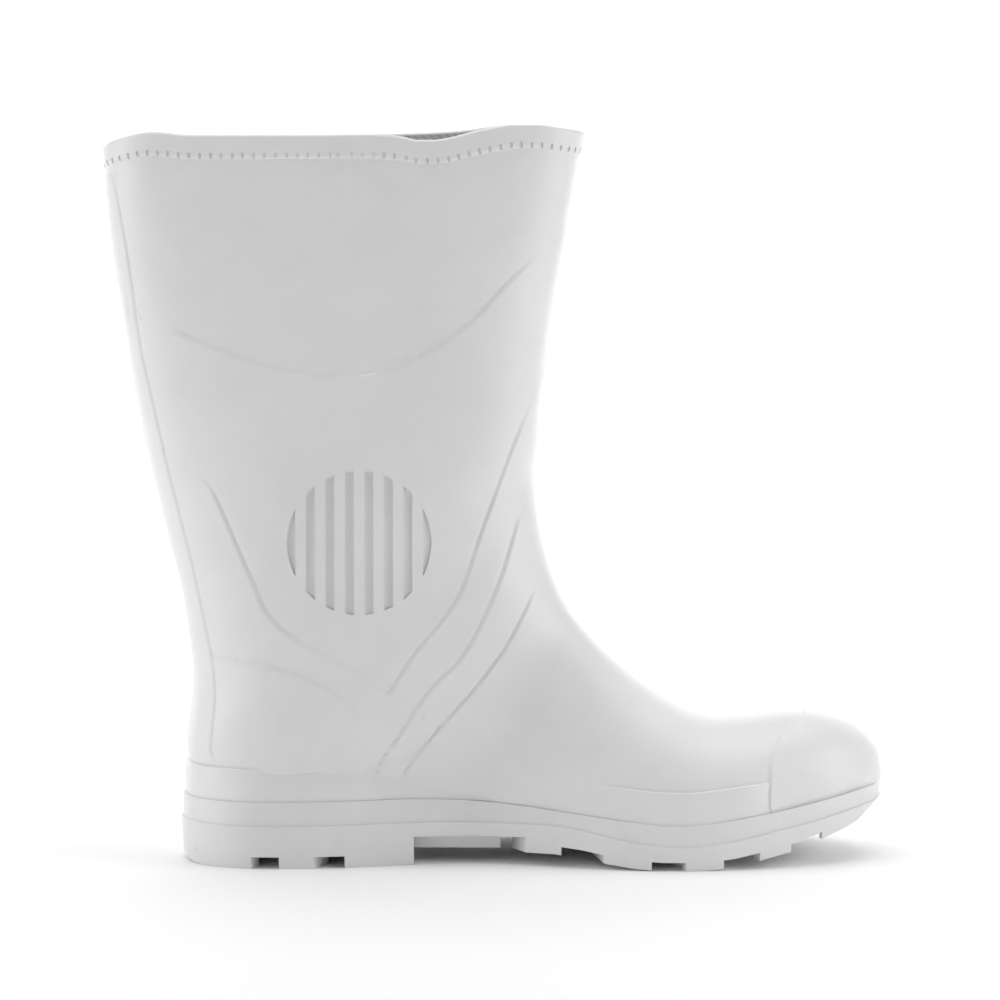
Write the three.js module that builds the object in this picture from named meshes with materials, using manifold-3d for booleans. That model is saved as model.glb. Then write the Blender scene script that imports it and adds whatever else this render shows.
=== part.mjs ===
import * as THREE from "three";
import { mergeVertices } from "three/addons/utils/BufferGeometryUtils.js";
import Module from "manifold-3d";

// Waterproof boot, left foot. Millimetres, +Z up, toe to +X, medial side to -Y.

const SOLE_LENGTH = 300;
const BALL_WIDTH = 113;
const BOOT_HEIGHT = 309.5;
const HEEL_HEIGHT = 28;
const INSTEP_HEIGHT = 78;
const WALL = 1.9;
const FIT = 0.3;

// Raised work on the upper, each height measured from the plain shaft.
const LAYER_STEP = 0.35;
const CAP_RAISE = 2.1;
const STRIP_RAISE = 1.2;
const HEM_RAISE = 0.8;
const HEM_WIDTH = 8.5;

// Outsole
const LUG_DEPTH = 3.6;
const HEEL_LUG_DEPTH = 5;
const SHANK_DEPTH = 12;
const SHANK_RIB_HEIGHT = 6;
const SIDE_STEP = 1;
const TOE_UNDERCUT = 7;
const EDGE_DRAFT = 1.2;

const INSOLE_THICKNESS = 3;
const PLUG_DIAMETER = 8.8;
const WELL_DIAMETER = 13;
const WELL_DEPTH = 7;
const PLUG_REACH = 5.5;

const DISC_RADIUS = 30;
const DISC_GROOVES = 8;
const DISC_PITCH = 8.1;
const DISC_GROOVE = 3.6;
const DISC_DEPTH = 0.9;

// Grid of the upper's loft
const RINGS_PER_ROW = 2;
const RING_POINTS = 30;
const CAVITY_POINTS = 22;
const OUTLINE_STEPS = 2;

// Outsole outline, a row per station from heel to toe:
// x in sole lengths, the two sides in ball widths.
const OUTLINE = [
  { x: 0, lateral: -0.035, medial: -0.035 },
  { x: 0.008, lateral: 0.08, medial: -0.159 },
  { x: 0.03, lateral: 0.173, medial: -0.257 },
  { x: 0.063, lateral: 0.248, medial: -0.327 },
  { x: 0.11, lateral: 0.296, medial: -0.372 },
  { x: 0.167, lateral: 0.327, medial: -0.376 },
  { x: 0.233, lateral: 0.35, medial: -0.358 },
  { x: 0.317, lateral: 0.389, medial: -0.301 },
  { x: 0.4, lateral: 0.429, medial: -0.274 },
  { x: 0.483, lateral: 0.469, medial: -0.323 },
  { x: 0.56, lateral: 0.5, medial: -0.403 },
  { x: 0.633, lateral: 0.518, medial: -0.469 },
  { x: 0.707, lateral: 0.509, medial: -0.488 },
  { x: 0.773, lateral: 0.478, medial: -0.469 },
  { x: 0.833, lateral: 0.429, medial: -0.42 },
  { x: 0.887, lateral: 0.376, medial: -0.358 },
  { x: 0.933, lateral: 0.314, medial: -0.288 },
  { x: 0.967, lateral: 0.239, medial: -0.212 },
  { x: 0.988, lateral: 0.142, medial: -0.119 },
  { x: 1, lateral: 0.018, medial: 0.018 },
];

// Heights along the sole in heel heights: tread, side step, joint with the upper, band top.
const LEVELS = [
  { x: 0, tread: 0.071, step: 0.643, joint: 1, band: 1.5 },
  { x: 0.03, tread: 0, step: 0.643, joint: 1, band: 1.5 },
  { x: 0.3, tread: 0, step: 0.643, joint: 1, band: 1.5 },
  { x: 0.4, tread: 0.071, step: 0.636, joint: 0.964, band: 1.446 },
  { x: 0.483, tread: 0.196, step: 0.629, joint: 0.893, band: 1.375 },
  { x: 0.533, tread: 0.186, step: 0.621, joint: 0.836, band: 1.318 },
  { x: 0.583, tread: 0.104, step: 0.514, joint: 0.779, band: 1.271 },
  { x: 0.627, tread: 0.036, step: 0.429, joint: 0.729, band: 1.221 },
  { x: 0.667, tread: 0, step: 0.371, joint: 0.679, band: 1.182 },
  { x: 0.707, tread: 0, step: 0.35, joint: 0.671, band: 1.171 },
  { x: 0.75, tread: 0.014, step: 0.393, joint: 0.711, band: 1.207 },
  { x: 0.79, tread: 0.079, step: 0.464, joint: 0.779, band: 1.25 },
  { x: 0.83, tread: 0.171, step: 0.546, joint: 0.829, band: 1.286 },
  { x: 0.873, tread: 0.268, step: 0.629, joint: 0.904, band: 1.307 },
  { x: 0.913, tread: 0.411, step: 0.721, joint: 0.979, band: 1.321 },
  { x: 0.947, tread: 0.511, step: 0.796, joint: 1.043, band: 1.332 },
  { x: 0.973, tread: 0.571, step: 0.843, joint: 1.082, band: 1.343 },
  { x: 1, tread: 0.625, step: 0.875, joint: 1.107, band: 1.357 },
];

// Upright sections of the forefoot from the toe back. x in sole lengths, low in heel
// heights, top in instep heights above the joint, mid and sides in ball widths,
// wide is the share of the section's height at which it is widest.
const FOOT = [
  { x: 0.99, low: 1.107, top: 0.032, mid: 0, lateral: 0, medial: 0, wide: 0.5, under: 2, over: 2 },
  { x: 0.984, low: 0.964, top: 0.162,
    mid: 0, lateral: 0.084, medial: -0.071, wide: 0.45, under: 2.2, over: 2 },
  { x: 0.967, low: 0.875, top: 0.256,
    mid: -0.004, lateral: 0.164, medial: -0.146, wide: 0.42, under: 2.6, over: 2 },
  { x: 0.942, low: 0.804, top: 0.331,
    mid: -0.013, lateral: 0.239, medial: -0.217, wide: 0.4, under: 3, over: 2 },
  { x: 0.907, low: 0.732, top: 0.396,
    mid: -0.022, lateral: 0.31, medial: -0.288, wide: 0.38, under: 3.4, over: 2 },
  { x: 0.86, low: 0.643, top: 0.449,
    mid: -0.031, lateral: 0.369, medial: -0.347, wide: 0.36, under: 4, over: 2 },
  { x: 0.813, low: 0.571, top: 0.459,
    mid: -0.035, lateral: 0.413, medial: -0.398, wide: 0.35, under: 4.4, over: 2.05 },
  { x: 0.77, low: 0.518, top: 0.476,
    mid: -0.04, lateral: 0.442, medial: -0.431, wide: 0.34, under: 4.5, over: 2.05 },
  { x: 0.723, low: 0.482, top: 0.541,
    mid: -0.044, lateral: 0.465, medial: -0.449, wide: 0.33, under: 4.5, over: 2.05 },
  { x: 0.683, low: 0.482, top: 0.623,
    mid: -0.044, lateral: 0.475, medial: -0.447, wide: 0.33, under: 4.5, over: 2.05 },
];

// Sections that fan from the waist round the heel up to the collar. Back and front
// points in sole lengths and boot heights, mid and sides in ball widths.
const LEG = [
  { backX: 0.593, backZ: 0.045, frontX: 0.643, frontZ: 0.243,
    mid: -0.044, lateral: 0.473, medial: -0.413, wide: 0.34, under: 4.3, over: 2.1 },
  { backX: 0.533, backZ: 0.048, frontX: 0.601, frontZ: 0.277,
    mid: -0.044, lateral: 0.458, medial: -0.363, wide: 0.36, under: 4, over: 2.15 },
  { backX: 0.46, backZ: 0.052, frontX: 0.569, frontZ: 0.308,
    mid: -0.04, lateral: 0.434, medial: -0.31, wide: 0.38, under: 3.4, over: 2.2 },
  { backX: 0.373, backZ: 0.055, frontX: 0.542, frontZ: 0.342,
    mid: -0.035, lateral: 0.412, medial: -0.279, wide: 0.46, under: 2.8, over: 2.25 },
  { backX: 0.273, backZ: 0.058, frontX: 0.523, frontZ: 0.381,
    mid: -0.027, lateral: 0.381, medial: -0.303, wide: 0.48, under: 2.8, over: 2.3 },
  { backX: 0.167, backZ: 0.061, frontX: 0.512, frontZ: 0.42,
    mid: -0.018, lateral: 0.352, medial: -0.355, wide: 0.46, under: 3.1, over: 2.3 },
  { backX: 0.052, backZ: 0.071, frontX: 0.504, frontZ: 0.459,
    mid: -0.015, lateral: 0.355, medial: -0.39, wide: 0.45, under: 2.9, over: 2.3 },
  { backX: 0.013, backZ: 0.149, frontX: 0.5, frontZ: 0.494,
    mid: -0.012, lateral: 0.362, medial: -0.385, wide: 0.46, under: 2.6, over: 2.3 },
  { backX: 0.021, backZ: 0.249, frontX: 0.499, frontZ: 0.53,
    mid: -0.009, lateral: 0.367, medial: -0.376, wide: 0.47, under: 2.4, over: 2.3 },
  { backX: 0.009, backZ: 0.355, frontX: 0.504, frontZ: 0.569,
    mid: -0.009, lateral: 0.376, medial: -0.376, wide: 0.48, under: 2.4, over: 2.4 },
  { backX: -0.013, backZ: 0.443, frontX: 0.508, frontZ: 0.607,
    mid: -0.004, lateral: 0.381, medial: -0.376, wide: 0.49, under: 2.5, over: 2.5 },
  { backX: -0.037, backZ: 0.538, frontX: 0.515, frontZ: 0.662,
    mid: 0, lateral: 0.376, medial: -0.372, wide: 0.5, under: 2.6, over: 2.6 },
  { backX: -0.06, backZ: 0.637, frontX: 0.523, frontZ: 0.724,
    mid: 0, lateral: 0.367, medial: -0.367, wide: 0.5, under: 2.75, over: 2.7 },
  { backX: -0.077, backZ: 0.733, frontX: 0.534, frontZ: 0.787,
    mid: 0, lateral: 0.354, medial: -0.354, wide: 0.5, under: 2.9, over: 2.8 },
  { backX: -0.092, backZ: 0.827, frontX: 0.546, frontZ: 0.851,
    mid: 0, lateral: 0.341, medial: -0.341, wide: 0.5, under: 3, over: 2.9 },
  { backX: -0.1, backZ: 0.914, frontX: 0.558, frontZ: 0.918,
    mid: 0, lateral: 0.329, medial: -0.329, wide: 0.5, under: 3, over: 3 },
  { backX: -0.103, backZ: 0.976, frontX: 0.568, frontZ: 0.976,
    mid: 0, lateral: 0.323, medial: -0.323, wide: 0.5, under: 3, over: 3 },
  { backX: -0.104, backZ: 1.066, frontX: 0.582, frontZ: 1.066,
    mid: 0, lateral: 0.319, medial: -0.319, wide: 0.5, under: 3, over: 3 },
];

// Lines in the side view, x in sole lengths and height in boot heights.
const RIM = [
  [-0.15, 0.963], [-0.107, 0.968], [-0.09, 0.977], [-0.033, 0.989], [0.02, 0.985],
  [0.167, 0.985], [0.267, 0.986], [0.307, 0.984], [0.33, 0.978], [0.357, 0.978],
  [0.387, 0.983], [0.41, 0.989], [0.44, 0.995], [0.467, 0.999], [0.5, 0.999],
  [0.533, 0.995], [0.573, 0.99], [0.633, 0.985],
];
const SMILE = [
  [0, 0.724], [0.053, 0.703], [0.103, 0.685], [0.163, 0.669], [0.22, 0.663],
  [0.28, 0.669], [0.333, 0.688], [0.377, 0.712], [0.417, 0.744], [0.457, 0.788],
  [0.507, 0.83],
];
const SHIELD = [
  [0.02, 0.536], [0.043, 0.519], [0.055, 0.498], [0.083, 0.433], [0.107, 0.381],
  [0.118, 0.352], [0.137, 0.33], [0.157, 0.313], [0.19, 0.297], [0.228, 0.278],
  [0.26, 0.262], [0.293, 0.237], [0.33, 0.294], [0.353, 0.317], [0.385, 0.355],
  [0.402, 0.388], [0.418, 0.439], [0.442, 0.502], [0.467, 0.569], [0.49, 0.62],
];
const INSTEP_BAND = [
  [0.267, 0.123], [0.317, 0.194], [0.347, 0.239], [0.362, 0.254], [0.39, 0.278],
  [0.413, 0.313], [0.43, 0.346], [0.45, 0.391], [0.468, 0.446], [0.48, 0.486],
];
const VAMP_BAND = [
  [0.307, 0.123], [0.35, 0.174], [0.393, 0.22], [0.418, 0.247], [0.447, 0.284],
  [0.465, 0.312], [0.484, 0.348], [0.5, 0.384],
];
const COUNTER = [
  [-0.013, 0.284], [0.08, 0.279], [0.113, 0.276], [0.153, 0.267], [0.193, 0.254],
  [0.253, 0.213], [0.3, 0.145],
];
const STRIP = [
  [-0.088, 0.937], [-0.07, 0.84], [-0.056, 0.743], [-0.047, 0.688], [-0.023, 0.582],
  [0, 0.491], [0.02, 0.414], [0.037, 0.336], [0.05, 0.271], [0.053, 0.226],
  [0.047, 0.162],
];
const COUNTER_END = [[0.3, 0.4], [0.3, -0.1]];

// Rear edge of the toe cap in plan, x in sole lengths and y in ball widths.
const CAP_EDGE = [
  [0.812, -0.6], [0.82, -0.36], [0.845, -0.25], [0.876, -0.16], [0.886, -0.04],
  [0.878, 0.1], [0.85, 0.2], [0.826, 0.32], [0.815, 0.6],
];

// Forefoot grooves, a row each: rear and front edge on the middle line in sole lengths,
// knees of the chevron in ball widths, medial lead in sole lengths.
const GROOVES = [
  { rear: 0.574, front: 0.629, lateralKnee: 0.3, medialKnee: -0.2, lead: -0.02 },
  { rear: 0.686, front: 0.733, lateralKnee: 0.25, medialKnee: -0.24, lead: -0.004 },
  { rear: 0.793, front: 0.847, lateralKnee: 0.215, medialKnee: -0.265, lead: -0.016 },
  { rear: 0.9, front: 0.948, lateralKnee: 0.19, medialKnee: -0.27, lead: -0.034 },
];
const LATERAL_KNEE_BACK = 0.035;
const MEDIAL_KNEE_BACK = 0.05;

// Heel grooves and shank in plan, x in sole lengths and y in ball widths.
const HEEL_CUTS = [
  [[0.02, 0.27], [0.046, 0.217], [0.077, 0.142], [0.073, 0.09], [0.095, 0.024],
    [0.13, 0.169], [0.079, 0.269], [0.06, 0.36]],
  [[0.028, -0.032], [0.059, 0.017], [0.09, -0.061], [0.155, -0.245], [0.138, -0.374],
    [0.12, -0.48], [0.085, -0.46], [0.1, -0.357], [0.11, -0.3], [0.111, -0.254], [0.068, -0.135]],
  [[0.155, 0.42], [0.16, 0.327], [0.182, 0.208], [0.144, -0.009], [0.209, -0.22], [0.207, -0.259],
    [0.185, -0.37], [0.175, -0.48], [0.222, -0.48], [0.231, -0.342], [0.252, -0.211],
    [0.182, -0.009], [0.232, 0.222], [0.191, 0.319], [0.188, 0.42]],
  [[0.295, 0.205], [0.251, 0.05], [0.306, -0.13]],
];
const SHANK_CUT = [
  [0.318, 0.2], [0.326, -0.115], [0.33, -0.5], [0.49, -0.5], [0.488, -0.347], [0.468, -0.17],
  [0.506, 0.008], [0.466, 0.361], [0.49, 0.47], [0.495, 0.6], [0.31, 0.6],
];
const SHANK_RIBS = [
  [[0.321, 0.348], [0.455, 0.393], [0.432, 0.35], [0.323, 0.317]],
  [[0.327, -0.128], [0.45, -0.16], [0.45, -0.222], [0.329, -0.203]],
];
const PLUG_PLACE = { x: 0.073, y: -0.057 };

// Ankle disc centre in the side view
const DISC_PLACE = { x: 0.252, z: 0.442 };

const wasm = await Module();
wasm.setup();
const { CrossSection, Manifold, Mesh } = wasm;

// Monotone cubic through (xs, ys).
function curve(xs, ys) {
  const last = xs.length - 1;
  const step = [];
  for (let i = 0; i < last; i += 1) {
    step.push((ys[i + 1] - ys[i]) / (xs[i + 1] - xs[i]));
  }
  const slope = [step[0]];
  for (let i = 1; i < last; i += 1) {
    const turn = step[i - 1] * step[i];
    slope.push(turn > 0 ? (2 * turn) / (step[i - 1] + step[i]) : 0);
  }
  slope.push(step[last - 1]);
  return (x) => {
    let i = 0;
    while (i < last - 1 && x > xs[i + 1]) {
      i += 1;
    }
    const width = xs[i + 1] - xs[i];
    const t = Math.min(1, Math.max(0, (x - xs[i]) / width));
    const a = ys[i] * (1 + 2 * t) * (1 - t) * (1 - t);
    const b = slope[i] * width * t * (1 - t) * (1 - t);
    const c = ys[i + 1] * t * t * (3 - 2 * t);
    const d = slope[i + 1] * width * t * t * (t - 1);
    return a + b + c + d;
  };
}

function column(rows, key, size) {
  const places = rows.map((row, i) => i);
  return curve(places, rows.map((row) => row[key] * size));
}

function level(key) {
  const xs = LEVELS.map((row) => row.x * SOLE_LENGTH);
  return curve(xs, LEVELS.map((row) => row[key] * HEEL_HEIGHT));
}

const treadAt = level("tread");
const stepAt = level("step");
const jointAt = level("joint");
const bandAt = level("band");

function solid(positions, faces) {
  const mesh = new Mesh({
    numProp: 3,
    vertProperties: new Float32Array(positions),
    triVerts: new Uint32Array(faces),
  });
  mesh.merge();
  return new Manifold(mesh);
}

// Closed outline of the sole in plan: heel, lateral side, toe, medial side.
function soleOutline() {
  const x = column(OUTLINE, "x", SOLE_LENGTH);
  const lateral = column(OUTLINE, "lateral", BALL_WIDTH);
  const medial = column(OUTLINE, "medial", BALL_WIDTH);
  const count = (OUTLINE.length - 1) * OUTLINE_STEPS;
  const points = [];
  for (let i = 0; i <= count; i += 1) {
    const t = i / OUTLINE_STEPS;
    points.push([x(t), lateral(t)]);
  }
  for (let i = count - 1; i > 0; i -= 1) {
    const t = i / OUTLINE_STEPS;
    points.push([x(t), medial(t)]);
  }
  return points;
}

const outline = soleOutline();
const stations = outline.slice(0, outline.length / 2 + 1).map((point) => point[0]);

function toeWeight(x) {
  const t = Math.max(0, x / SOLE_LENGTH - 0.86) / 0.14;
  return t * t;
}

// One ring of the outline, moved inwards by inset and more at the toe.
function ring(inset, toeInset, heightAt) {
  const count = outline.length;
  return outline.map(([x, y], i) => {
    const before = outline[(i + count - 1) % count];
    const after = outline[(i + 1) % count];
    const dx = after[0] - before[0];
    const dy = after[1] - before[1];
    const size = Math.hypot(dx, dy);
    const move = inset + toeInset * toeWeight(x);
    return [x + (dy / size) * move, y - (dx / size) * move, heightAt(x)];
  });
}

// Solid between rings of the outline, closed by strips from side to side.
function stack(rings) {
  const count = outline.length;
  const half = count / 2;
  const faces = [];
  rings.slice(1).forEach((upper, k) => {
    for (let i = 0; i < count; i += 1) {
      const a = k * count + i;
      const b = k * count + ((i + 1) % count);
      faces.push(a, a + count, b, b, a + count, b + count);
    }
  });
  const top = (rings.length - 1) * count;
  for (let i = 0; i < half; i += 1) {
    const a = i;
    const b = i + 1;
    const c = (count - i - 1) % count;
    const d = (count - i) % count;
    if (b !== c) {
      faces.push(a, b, c);
      faces.push(top + a, top + c, top + b);
    }
    if (a !== d) {
      faces.push(a, c, d);
      faces.push(top + a, top + d, top + c);
    }
  }
  return solid(rings.flat(2), faces);
}

function footRow(row) {
  const x = row.x * SOLE_LENGTH;
  const frontZ = jointAt(x) + row.top * INSTEP_HEIGHT;
  const backZ = Math.min(row.low * HEEL_HEIGHT, frontZ);
  return { ...row, backX: x, backZ, frontX: x, frontZ };
}

function legRow(row) {
  return {
    ...row,
    backX: row.backX * SOLE_LENGTH,
    backZ: row.backZ * BOOT_HEIGHT,
    frontX: row.frontX * SOLE_LENGTH,
    frontZ: row.frontZ * BOOT_HEIGHT,
  };
}

// Tip point, then the forefoot, then the fan up to the collar.
const rows = [...FOOT.map(footRow), ...LEG.map(legRow)];
const along = {};
["backX", "backZ", "frontX", "frontZ", "wide", "under", "over"].forEach((key) => {
  along[key] = column(rows, key, 1);
});
["mid", "lateral", "medial"].forEach((key) => {
  along[key] = column(rows, key, BALL_WIDTH);
});

// Point of the upper's surface: u in rows from the toe, turn round the section from
// its low point over the lateral side.
function surface(u, turn) {
  const c = Math.cos(turn);
  const s = Math.sin(turn);
  const power = 2 / (c > 0 ? along.under(u) : along.over(u));
  const wide = along.wide(u);
  const lift = Math.abs(c) ** power;
  const share = c > 0 ? wide * (1 - lift) : wide + (1 - wide) * lift;
  const spread = Math.abs(s) ** power;
  const mid = along.mid(u);
  const side = s > 0 ? along.lateral(u) : along.medial(u);
  return new THREE.Vector3(
    along.backX(u) + (along.frontX(u) - along.backX(u)) * share,
    mid + (side - mid) * spread,
    along.backZ(u) + (along.frontZ(u) - along.backZ(u)) * share,
  );
}

// Surface point moved outwards by raise.
function raised(u, turn, raise) {
  const point = surface(u, turn);
  const du = surface(u + 0.05, turn).sub(surface(u - 0.05, turn));
  const dv = surface(u, turn + 0.06).sub(surface(u, turn - 0.06));
  return point.addScaledVector(du.cross(dv).normalize(), raise);
}

// Closed sock form, raise millimetres outside the plain surface.
function form(raise, around = RING_POINTS) {
  const ends = rows.length - 1;
  const count = ends * RINGS_PER_ROW;
  const tip = surface(0, 0);
  const positions = [tip.x + raise, tip.y, tip.z];
  for (let i = 1; i <= count; i += 1) {
    for (let j = 0; j < around; j += 1) {
      const turn = (2 * Math.PI * j) / around;
      positions.push(...raised(i / RINGS_PER_ROW, turn, raise).toArray());
    }
  }
  const end = new THREE.Vector3(along.backX(ends), along.mid(ends), along.backZ(ends));
  end.lerp(new THREE.Vector3(along.frontX(ends), along.mid(ends), along.frontZ(ends)), 0.5);
  positions.push(...end.toArray());
  const faces = [];
  for (let j = 0; j < around; j += 1) {
    const next = (j + 1) % around;
    faces.push(0, 1 + j, 1 + next);
    for (let i = 1; i < count; i += 1) {
      const a = 1 + (i - 1) * around;
      faces.push(a + j, a + j + around, a + next);
      faces.push(a + next, a + j + around, a + next + around);
    }
    const last = 1 + (count - 1) * around;
    faces.push(last + j, 1 + count * around, last + next);
  }
  return solid(positions, faces);
}

function prism(points, depth) {
  return new CrossSection([points], "NonZero").extrude(depth);
}

// Prism over a plan polygon between two heights.
function upright(points, low, high) {
  return prism(points, high - low).translate([0, 0, low]);
}

// Prism across the boot over a side-view polygon.
function across(points) {
  return prism(points, 2 * BALL_WIDTH)
    .rotate([90, 0, 0])
    .translate([0, BALL_WIDTH, 0]);
}

function sideView(line) {
  return line.map(([x, z]) => [x * SOLE_LENGTH, z * BOOT_HEIGHT]);
}

function plan(line) {
  return line.map(([x, y]) => [x * SOLE_LENGTH, y * BALL_WIDTH]);
}

const BACK = -0.3 * SOLE_LENGTH;
const FRONT = 1.2 * SOLE_LENGTH;
const FLOOR = -0.2 * BOOT_HEIGHT;

// Everything under a side-view line that runs from the back to the front.
function under(points) {
  const first = points[0];
  const last = points[points.length - 1];
  return across([[BACK, FLOOR], [FRONT, FLOOR], [FRONT, last[1]], ...points.slice().reverse(),
    [BACK, first[1]]]);
}

// Everything in front of a side-view line that rises from the sole.
function ahead(points) {
  const first = points[0];
  const last = points[points.length - 1];
  const lead = last[0] + 0.15 * SOLE_LENGTH;
  return across([[first[0], FLOOR], [FRONT, FLOOR], [FRONT, last[1] + 0.1 * BOOT_HEIGHT],
    [lead, last[1] + 0.1 * BOOT_HEIGHT], ...points.slice().reverse()]);
}

// Everything behind a side-view line.
function behind(points) {
  const first = points[0];
  const last = points[points.length - 1];
  return across([[BACK, last[1]], ...points.slice().reverse(), [BACK, first[1]]]);
}

// Everything above the joint between sole and upper.
function aboveJoint() {
  const line = stations.map((x) => [x, jointAt(x) + FIT]);
  const first = line[0];
  const last = line[line.length - 1];
  const high = 2 * BOOT_HEIGHT;
  return across([[BACK, first[1]], ...line, [FRONT, last[1]], [FRONT, high], [BACK, high]]);
}

// Low steps of the side view, each raised over the one before.
function layers() {
  const smile = under(sideView(SMILE));
  const shield = under(sideView(SHIELD));
  const counter = under(sideView(COUNTER)).intersect(behind(sideView(COUNTER_END)));
  const instep = ahead(sideView(INSTEP_BAND)).add(counter);
  const vamp = ahead(sideView(VAMP_BAND));
  return [smile, shield, instep, vamp].map((zone, i) => {
    return form((i + 1) * LAYER_STEP).intersect(zone);
  });
}

function toeCap() {
  const edge = plan(CAP_EDGE);
  const zone = upright([...edge, [FRONT, BALL_WIDTH], [FRONT, -BALL_WIDTH]], FLOOR, BOOT_HEIGHT);
  return form(CAP_RAISE).intersect(zone);
}

function hemBand() {
  const rim = sideView(RIM).map(([x, z]) => [x, z - HEM_WIDTH]);
  const first = rim[0];
  const last = rim[rim.length - 1];
  const high = 2 * BOOT_HEIGHT;
  const zone = across([[BACK, first[1]], ...rim, [FRONT, last[1]], [FRONT, high], [BACK, high]]);
  return form(HEM_RAISE).intersect(zone);
}

// Band over the joint line, all round the foot.
function sideBand() {
  const inset = 2 * SIDE_STEP;
  return stack([
    ring(inset, 0, (x) => jointAt(x) - HEEL_HEIGHT / 4),
    ring(inset, 0, bandAt),
  ]);
}

// Room for foot and leg.
function cavity() {
  const inset = 2 * SIDE_STEP + WALL;
  const footbed = stack([
    ring(inset, 0, (x) => jointAt(x) - HEEL_HEIGHT / 2),
    ring(inset, 0, (x) => bandAt(x) - WALL),
  ]);
  return form(-WALL, CAVITY_POINTS).add(footbed);
}

function discGrooves(side) {
  const x = DISC_PLACE.x * SOLE_LENGTH;
  const z = DISC_PLACE.z * BOOT_HEIGHT;
  const disc = Manifold.cylinder(BALL_WIDTH, DISC_RADIUS, DISC_RADIUS, 48)
    .rotate([90, 0, 0])
    .translate([x, side > 0 ? BALL_WIDTH : 0, z]);
  const bars = [];
  for (let i = 0; i < DISC_GROOVES; i += 1) {
    const place = x + (i - (DISC_GROOVES - 1) / 2) * DISC_PITCH;
    bars.push(Manifold.cube([DISC_GROOVE, 2 * BALL_WIDTH, 3 * DISC_RADIUS], true)
      .translate([place, 0, z]));
  }
  return Manifold.union(bars).intersect(disc).subtract(form(LAYER_STEP - DISC_DEPTH));
}

function upper() {
  const body = Manifold.union([
    form(0), ...layers(), toeCap(), hemBand(), sideBand(),
    form(STRIP_RAISE).intersect(behind(sideView(STRIP))),
  ]);
  return body
    .intersect(aboveJoint())
    .intersect(under(sideView(RIM)))
    .subtract(cavity())
    .subtract(discGrooves(-1))
    .subtract(discGrooves(1));
}

// Everything lower than depth above the tread line.
function treadZone(depth) {
  return under(stations.map((x) => [x, treadAt(x) + depth]));
}

function chevron(row) {
  const reach = 0.75 * BALL_WIDTH;
  const edge = (middle) => {
    const x = middle * SOLE_LENGTH;
    return [
      [x + 0.045 * SOLE_LENGTH, reach],
      [x - LATERAL_KNEE_BACK * SOLE_LENGTH, row.lateralKnee * BALL_WIDTH],
      [x, -0.01 * BALL_WIDTH],
      [x - MEDIAL_KNEE_BACK * SOLE_LENGTH, row.medialKnee * BALL_WIDTH],
      [x + row.lead * SOLE_LENGTH, -reach],
    ];
  };
  return upright([...edge(row.rear), ...edge(row.front).reverse()], FLOOR, BOOT_HEIGHT);
}

function well() {
  const radius = WELL_DIAMETER / 2;
  return Manifold.cylinder(WELL_DEPTH + HEEL_HEIGHT, radius, radius, 32)
    .translate([PLUG_PLACE.x * SOLE_LENGTH, PLUG_PLACE.y * BALL_WIDTH, -HEEL_HEIGHT]);
}

function outsole() {
  const body = stack([
    ring(EDGE_DRAFT, TOE_UNDERCUT, treadAt),
    ring(0, 0.6, stepAt),
    ring(SIDE_STEP, 0.6, stepAt),
    ring(SIDE_STEP, 0, jointAt),
  ]);
  const fore = Manifold.union(GROOVES.map(chevron)).intersect(treadZone(LUG_DEPTH));
  const heel = Manifold.union(HEEL_CUTS.map((line) => {
    return upright(plan(line), -HEEL_HEIGHT, HEEL_LUG_DEPTH);
  }));
  const ribs = Manifold.union(SHANK_RIBS.map((line) => {
    return upright(plan(line), SHANK_DEPTH - SHANK_RIB_HEIGHT, HEEL_HEIGHT);
  }));
  const shank = upright(plan(SHANK_CUT), -HEEL_HEIGHT, SHANK_DEPTH).subtract(ribs);
  return body.subtract(Manifold.union([fore, heel, shank, well()]));
}

function insole() {
  const inset = 2 * SIDE_STEP + WALL + 2 * FIT;
  return stack([
    ring(inset, 0, (x) => jointAt(x) + FIT),
    ring(inset, 0, (x) => jointAt(x) + FIT + INSOLE_THICKNESS),
  ]);
}

function heelPlug() {
  const radius = PLUG_DIAMETER / 2;
  const profile = [
    new THREE.Vector2(0, WELL_DEPTH - PLUG_REACH + 1),
    new THREE.Vector2(radius * 0.3, WELL_DEPTH - PLUG_REACH + 0.6),
    new THREE.Vector2(radius * 0.45, WELL_DEPTH - PLUG_REACH),
    new THREE.Vector2(radius * 0.85, WELL_DEPTH - PLUG_REACH),
    new THREE.Vector2(radius, WELL_DEPTH - PLUG_REACH + 0.6),
    new THREE.Vector2(radius, WELL_DEPTH - FIT / 10),
    new THREE.Vector2(0, WELL_DEPTH - FIT / 10),
  ];
  const geometry = new THREE.LatheGeometry(profile, 32);
  geometry.rotateX(Math.PI / 2);
  geometry.translate(PLUG_PLACE.x * SOLE_LENGTH, PLUG_PLACE.y * BALL_WIDTH, 0);
  geometry.deleteAttribute("normal");
  geometry.deleteAttribute("uv");
  return mergeVertices(geometry, 1e-4);
}

function geometryOf(body) {
  const mesh = body.getMesh();
  const geometry = new THREE.BufferGeometry();
  geometry.setAttribute("position", new THREE.BufferAttribute(mesh.vertProperties, 3));
  geometry.setIndex(new THREE.BufferAttribute(mesh.triVerts, 1));
  return geometry;
}

function piece(name, geometry, colour, roughness) {
  geometry.computeVertexNormals();
  const material = new THREE.MeshStandardMaterial({ color: colour, roughness, metalness: 0 });
  const mesh = new THREE.Mesh(geometry, material);
  mesh.name = name;
  return mesh;
}

const boot = new THREE.Group();
boot.name = "waterproof_boot";
boot.add(piece("upper", geometryOf(upper()), "#eceef0", 0.42));
boot.add(piece("outsole", geometryOf(outsole()), "#e2e4e6", 0.5));
boot.add(piece("insole", geometryOf(insole()), "#d8d9d8", 0.9));
boot.add(piece("heel_plug", heelPlug(), "#8c9094", 0.6));

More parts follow.
